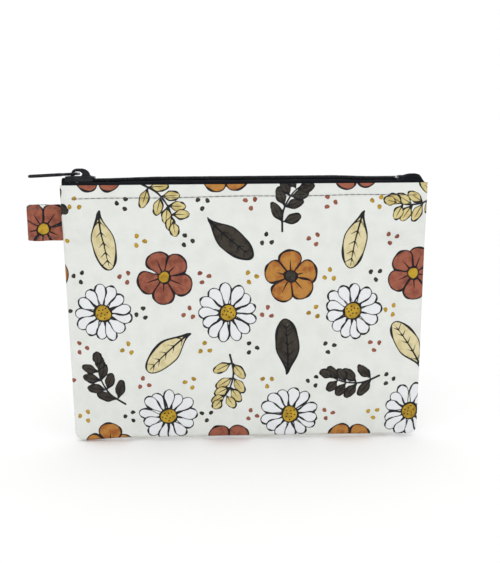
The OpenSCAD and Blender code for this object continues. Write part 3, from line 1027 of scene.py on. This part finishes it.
def make_topstitch(side):
    reach = TOP_W / 2 - 5
    t = np.linspace(0, 1, 7)
    for half in HALVES:
        parts = []
        for x0 in np.arange(STITCH_GAP / 2, reach - STITCH_L, STITCH_L + STITCH_GAP):
            xs = (x0 + STITCH_L * t) * (1 if half == "right" else -1)
            zs = stitch_z(side, xs)
            ys = layer_y(side, xs, zs) + creases(side, xs, zs) + 0.16 * np.sin(math.pi * t) + 0.03
            parts.append(stitch(np.stack([xs, FACING[side] * ys, zs], 1)))
        stitches = make_piece(f"{side}_topstitch_{half}", parts, GREY_THREAD)
        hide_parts(f"{side}_topstitch")
        bend_with_wall(stitches)


# ---------------- seams

def make_allowance(name, node, z0, z1, x0, x1, along_x):
    """Layers of raw seam allowance between the walls, folded flat and a little wavy."""
    layers = []
    for k in range(4):
        y0 = (k - 1.5) * 0.09
        u = np.linspace(x0, x1, int(abs(x1 - x0) / 1.2) + 2)
        v = np.linspace(z0, z1, int((z1 - z0) / 1.2) + 2)
        v2, u2 = np.meshgrid(v, u)
        along = u2 if along_x else v2
        ragged = 0.35 * np.sin(along * 0.9 + k) + 0.2 * np.sin(along * 2.3 + 2 * k)
        inner = (v2 - z0) / (z1 - z0) if along_x else (u2 - x0) / (x1 - x0)
        y = y0 + 0.02 * np.sin(u2 * 0.7 + v2 * 0.5 + k)
        px, pz = u2.copy(), v2.copy()
        if along_x:
            pz += ragged * inner
        else:
            px += ragged * inner * np.sign(x1 - x0)
        layers.append(shell(*(np.stack([px, y + t, pz], 2) for t in (-0.035, 0.035))))
    obj = make_piece(name, layers, ALLOWANCE)
    outward(obj)
    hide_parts(node)
    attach(obj, SEAM_BODY)


def make_seams():
    low_x, high_x, top = BOTTOM_W / 2 - 1.2, TOP_W / 2 - 2.0, WALL_H - 5.5
    for name, node, z0, z1, x0, x1 in (
            ("bottom_allowance", "bottom_seam", 1.0, 6.6, -BOTTOM_W / 2 + 8, BOTTOM_W / 2 - 8),
            ("right_allowance", "right_side_seam", 8.2, top, low_x, low_x - 3.8),
            ("left_allowance_low", "left_side_seam", 8.2, tab_low.z - 1.2, -low_x, -low_x + 3.8),
            ("left_allowance_high", "left_side_seam", tab_high.z + 1.2, top, -high_x, -high_x + 4.1)):
        make_allowance(name, node, z0, z1, x0, x1, name.startswith("bottom"))


# ---------------- side tab

TAB_X = -TOP_W / 2 - 0.4
TAB_L = TAB_X - tab_low.x
TAB_NOSE = 2.0


def tab_half(u):
    return 1 + 2.3 * np.sin(math.pi * u**1.25) + (TAB_NOSE - 1) * u


def tab_path():
    """Middle line of the strip in plan, from the front end in the seam to the back end."""
    u = np.linspace(0, 1, 40)
    l = TAB_L - TAB_NOSE
    front = np.stack([TAB_X - u * l, -(tab_half(u) - 0.45)], 1)
    front[:, 1] = -np.maximum(-front[:, 1], 0.45)
    a = np.linspace(0, math.pi, 14)[1:-1]
    nose = np.stack([TAB_X - l - (TAB_NOSE - 0.45) * np.sin(a), -(TAB_NOSE - 0.45) * np.cos(a)], 1)
    back = front[::-1] * [1, -1]
    tongue = np.array([[TAB_X + 3.6, -0.16], [TAB_X + 1.6, -0.2], [TAB_X + 0.6, -0.36]])
    return np.concatenate([tongue, front, nose, back, tongue[::-1] * [1, -1]])


def make_tab():
    path = tab_path()
    step = np.linalg.norm(np.diff(path, axis=0), axis=1)
    run = np.concatenate([[0], np.cumsum(step)])
    dense = np.linspace(0, run[-1], 130)
    path = np.stack([np.interp(dense, run, path[:, k]) for k in (0, 1)], 1)
    way = np.gradient(path, axis=0)
    way /= np.linalg.norm(way, axis=1)[:, None]
    normal = np.stack([-way[:, 1], way[:, 0]], 1)
    middle_z, half_z = (tab_low.z + tab_high.z) / 2, (tab_high.z - tab_low.z) / 2
    flat_z = np.linspace(-half_z + FOLD_R, half_z - FOLD_R, 44)
    turn = np.linspace(-math.pi / 2, math.pi / 2, 7)[1:-1]
    round_z, round_t = half_z - FOLD_R + FOLD_R * np.cos(turn), FOLD_R * np.sin(turn)
    ring_z = np.concatenate([flat_z, round_z, flat_z[::-1], -round_z])
    ring_t = np.concatenate([np.full(44, -FOLD_R), round_t, np.full(44, FOLD_R), -round_t])
    thin = np.interp(dense, [0, 3, 5, run[-1] - 5, run[-1] - 3, run[-1]], [0.3, 0.35, 1, 1, 0.35, 0.3])
    uneven = waves(91, 10, 5, 14)
    groove = 0.16 * bell(np.abs(ring_z), half_z - TAB_STITCH_IN, 0.45) * np.sign(-ring_t)
    on_face = np.sign(ring_t) * (np.abs(ring_t) > 0.3)
    along = dense[:, None]
    t = thin[:, None] * (ring_t + groove + 0.07 * uneven(along, ring_z[None]) * on_face)
    points = np.stack([path[:, :1] + normal[:, :1] * t, path[:, 1:] + normal[:, 1:] * t,
                       middle_z + ring_z * (1 + 0.012 * np.sin(along * 0.5))], 2)
    n, m = points.shape[:2]
    tab = make_object("side_tab_strip", points.reshape(-1, 3), capped_tube(n, m))
    outward(tab)
    place = np.stack([np.repeat(dense, m), np.zeros(n * m), np.tile(ring_z, n)], 1)
    keep_place(tab, place)
    print_on(tab, place[:, [0, 2]], CUT["tab"])
    finish_piece(tab, COTTON)
    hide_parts("side_tab")
    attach(tab, SEAM_BODY)

    parts = []
    t = np.linspace(0, 1, 7)
    for z in (TAB_STITCH_IN - half_z, half_z - TAB_STITCH_IN):
        for start in np.arange(5.0, run[-1] - 4.5 - TAB_STITCH_L, TAB_STITCH_PITCH):
            s = start + TAB_STITCH_L * t
            middle = np.stack([np.interp(s, dense, path[:, c]) for c in (0, 1)], 1)
            n2 = np.stack([np.interp(s, dense, normal[:, c]) for c in (0, 1)], 1)
            zz = np.full(7, middle_z + z) + 0.05 * math.sin(start)
            for face in (-1, 1):
                xy = middle + face * n2 * (0.28 + 0.14 * np.sin(math.pi * t))[:, None]
                parts.append(stitch(np.column_stack([xy, zz])))
    stitches = make_piece("tab_stitches", parts, GREY_THREAD)
    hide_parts("tab_stitching")
    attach(stitches, SEAM_BODY)


# ---------------- slider and puller

def corner(x, y, r, a0, n=7):
    a = np.radians(np.linspace(a0, a0 + 90, n))
    return np.stack([x + r * np.cos(a), y + r * np.sin(a)], 1)


def plate_outline(x0, x1, wide, narrow, r):
    """Anticlockwise outline, wide at its left end."""
    return np.concatenate([
        corner(x1 - r, narrow / 2 - r, r, 0), corner(x0 + r, wide / 2 - r, r, 90),
        corner(x0 + r, r - wide / 2, r, 180), corner(x1 - r, r - narrow / 2, r, 270),
    ])


def facing(outline, side):
    """An outline drawn for positive y, mirrored for side -1 and kept anticlockwise."""
    return outline if side > 0 else (outline * [1, -1])[::-1]


def metal_piece(name, parts, node, body):
    obj = make_piece(name, parts, METAL, sharp=50)
    slope = np.abs([v.normal for v in obj.data.vertices]).max(1)
    keep(obj, "edge", 1.75 * (1 - slope) + 0.35)
    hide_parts(node)
    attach(obj, body)


PLATE_T, PLATE_EDGE_R = 0.95, 0.38
PULLER_HALF_T = 0.62
PULLER_DROOP = 2.7


def make_slider():
    x0, x1 = slider_low.x, slider_high.x
    top_z, low_z = slider_high.z, slider_low.z
    wide, narrow = slider_high.y - slider_low.y, slider_high.y - slider_low.y - 1.4
    top = rounded_prism(plate_outline(x0, x1, wide, narrow, 1.5), top_z - PLATE_T, top_z,
                        PLATE_EDGE_R, 5)
    raised = rounded_prism(plate_outline(x0 + 1.0, x1 - 1.0, wide - 2.4, narrow - 2.4, 1.2),
                           top_z - 0.4, top_z + 0.16, 0.2, 3)
    bottom = rounded_prism(plate_outline(x0, x1, 7.2, 6.4, 1.3), low_z, low_z + 0.9, 0.32, 4)
    flange_z = low_z + 1.66
    parts = [top, raised, bottom]
    outer_wide, outer_narrow = wide / 2 - 0.02, narrow / 2 - 0.02
    for side in (-1, 1):
        rail = np.array([[x0 + 0.5, 3.3], [x1 - 0.5, 3.3],
                         [x1 - 0.3, outer_narrow - 0.2], [x1 - 0.8, outer_narrow],
                         [x0 + 0.8, outer_wide], [x0 + 0.3, outer_wide - 0.3]])
        parts.append(rounded_prism(facing(rail, side), flange_z, top_z - 0.3, 0.22, 3))
    neck_x = x0 + 1.5
    neck = np.array([[0, -0.5], [0.9, -1.15], [3.2, -0.4], [3.2, 0.4], [0.9, 1.15], [0, 0.5]])
    neck += [neck_x, 0]
    parts.append(rounded_prism(neck, low_z + 0.6, top_z - 0.6, 0.12, 2))
    metal_piece("slider_casting", parts, "slider_body", "slider")


def make_bail():
    """An arch with a thick right leg, over the puller's bar."""
    x0, z0 = bail_low.x, slider_high.z
    key = np.array([(0.70, -0.5), (0.70, 1.2), (1.05, 2.2), (2.0, 2.85), (3.4, 3.0), (5.0, 2.8),
                    (6.2, 2.2), (6.9, 1.4), (7.05, 0.8), (7.1, -0.5)])
    path = smooth_line(key, step=6)
    size = np.interp(np.linspace(0, 1, len(path)), [0, 0.25, 0.5, 0.7, 0.88, 1],
                     [0.62, 0.7, 0.8, 1.5, 2.1, 2.15])
    n, sides = len(path), 16
    way = np.gradient(path, axis=0)
    way /= np.linalg.norm(way, axis=1)[:, None]
    normal = np.stack([-way[:, 1], way[:, 0]], 1)
    a = np.linspace(0, 2 * math.pi, sides, endpoint=False)
    square = lambda c: np.sign(c) * np.abs(c) ** 0.6
    off = size[:, None] * square(np.cos(a))
    x = x0 + path[:, :1] + normal[:, :1] * off
    z = z0 + path[:, 1:] + normal[:, 1:] * off
    points = np.stack([np.clip(x, bail_low.x + 0.01, bail_high.x - 0.01),
                       np.tile(0.88 * square(np.sin(a)), (n, 1)), np.minimum(z, bail_high.z - 0.02)], 2)
    faces = capped_tube(n, sides)
    foot = rounded_prism(plate_outline(x0 + 6.5, x0 + 9.6, 3.0, 2.6, 0.6), z0 - 0.2, z0 + 0.5, 0.22, 3)
    toe = rounded_prism(plate_outline(x0 - 0.25, x0 + 1.5, 2.6, 2.6, 0.5), z0 - 0.2, z0 + 0.4, 0.2, 3)
    metal_piece("slider_arch", [(points.reshape(-1, 3), faces), foot, toe], "slider_bail", "slider")


def make_puller():
    bar_x, bar_z = bail_low.x + 3.1, slider_high.z + 1.2
    ys = np.linspace(-3.05, 3.05, 15)
    bar_r = np.where(np.abs(ys) > 2.6, 0.69, 0.645)
    parts = [tube(np.stack([0 * ys, ys, 0 * ys], 1), bar_r, 14, across=(1, 0, 0))]
    for side in (-1, 1):
        key = np.array([(0.0, 2.42), (-2.5, 2.45), (-5.2, 2.4), (-7.4, 2.05), (-9.2, 1.55)]) * [1, side]
        path = smooth_line(key, step=5)
        arm = tube(np.column_stack([path, np.zeros(len(path))]),
                   np.interp(np.linspace(0, 1, len(path)), [0, 0.1, 1], [0.55, 0.66, 0.66]), 12)
        arm[0][:, 2] *= 1.02
        parts.append(arm)
    tip = [(-14.0, 2.35), (-10.6, 2.2), (-8.2, 2.5), (-7.5, 1.2), (-7.4, 0), (-7.5, -1.2), (-8.2, -2.5),
           (-10.6, -2.2), (-14.0, -2.35), (-18.0, -2.75), (-21.4, -2.8), (-23.4, -1.9), (-24.2, 0),
           (-23.4, 1.9), (-21.4, 2.8), (-18.0, 2.75)]
    outline = smooth_line(tip, closed=True, step=5)[::-1]
    parts.append(rounded_prism(outline, -PULLER_HALF_T, PULLER_HALF_T, PLATE_EDGE_R, 5))
    bead = np.concatenate([outline, outline[:2]])
    centre = outline.mean(0)
    bead = centre + (bead - centre) * [0.93, 0.80]
    for z in (0.1 - PULLER_HALF_T, PULLER_HALF_T - 0.1):
        parts.append(tube(np.column_stack([bead, np.full(len(bead), z)]), 0.27, 8))
    points, faces = join(parts)
    c, s = math.cos(math.radians(PULLER_DROOP)), math.sin(math.radians(PULLER_DROOP))
    points = points @ np.array([[c, 0, s], [0, 1, 0], [-s, 0, c]]) + [bar_x, 0, bar_z]
    metal_piece("puller_casting", [(points, faces)], "puller", "puller")


def make_stops():
    lift = float(zipper_rise((stop_low.x + stop_high.x) / 2))
    across = plate_outline(stop_low.x, stop_high.x, 5.2, 5.2, 0.5)
    stop = rounded_prism(across, TAPE_Z + lift + 0.25, stop_high.z + lift * 0.6, 0.3, 4)
    under = rounded_prism(across, stop_low.z + lift, TAPE_Z + lift - 0.25, 0.2, 3)
    metal_piece("bottom_stop_clamp", [stop, under], "bottom_stop", SEAM_BODY)
    low, high = (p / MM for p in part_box("top_stops"))
    lift = float(zipper_rise((low.x + high.x) / 2))
    parts = []
    for side in (-1, 1):
        box = np.array([[low.x, 1.15], [high.x, 1.15], [high.x, high.y], [low.x, high.y]])
        box = facing(box, side)
        parts.append(rounded_prism(box, TAPE_Z + 0.24 + lift, high.z + lift, 0.22, 3))
        parts.append(rounded_prism(box, low.z + lift, TAPE_Z - 0.24 + lift, 0.22, 3))
    metal_piece("top_stop_clamps", parts, "top_stops", SEAM_BODY)


# ---------------- stage

def make_stage():
    """A floor that turns up into a wall behind the pouch."""
    reach, r = 1500.0, 500.0
    turn = np.linspace(0, math.pi / 2, 12)[1:]
    y = np.concatenate([np.linspace(-reach, r, 9), r + r * np.sin(turn), np.full(3, 2 * r)])
    z = np.concatenate([np.zeros(9), r - r * np.cos(turn), [700.0, 1200.0, 1800.0]])
    x = np.linspace(-2500, 2500, 7)
    y2, x2 = np.meshgrid(y, x)
    grid = np.stack([x2, y2, np.tile(z, (len(x), 1))], 2)
    sweep = make_object("backdrop", grid.reshape(-1, 3), grid_faces(len(x), len(y), flip=True))
    m = Nodes("paper_backdrop")
    tone = m.noise(m.node("ShaderNodeTexCoord").outputs["Object"], 3.0, 2.0, 0.5)
    color = m.mix(m.ramp(tone, 0.3, 0.7), (0.955, 0.955, 0.955, 1), (0.975, 0.975, 0.975, 1))
    sweep.data.materials.append(m.set(color=color, rough=0.9, specular=0.1))


def lamp(name, place, aim, size, power):
    data = bpy.data.lights.new(name, "AREA")
    data.shape, data.size, data.size_y = "RECTANGLE", size[0], size[1]
    data.energy = power
    obj = bpy.data.objects.new(name, data)
    obj.location = place
    obj.rotation_euler = (Vector(aim) - Vector(place)).to_track_quat("-Z", "Y").to_euler()
    bpy.context.scene.collection.objects.link(obj)


def make_light():
    world = bpy.data.worlds.new("studio")
    bpy.context.scene.world = world
    world.use_nodes = True
    world.node_tree.nodes["Background"].inputs["Color"].default_value = (1.0, 1.0, 1.0, 1)
    world.node_tree.nodes["Background"].inputs["Strength"].default_value = 1.0
    lamp("key", (-0.55, -0.9, 0.95), (0, 0, 0.07), (0.6, 0.6), 0.5)
    lamp("fill", (0.1, -0.9, 0.10), (0, 0, 0.02), (1.2, 0.3), 1.5)
    lamp("top", (0.15, 0.0, 1.2), (0, 0, 0.05), (1.0, 0.8), 0.9)


make_stage()
make_light()
for wall in WALL_BODY:
    make_wall(wall)
    make_tape(wall)
    make_coil(wall)
    make_topstitch(wall)
make_seams()
make_tab()
make_slider()
make_bail()
make_puller()
make_stops()
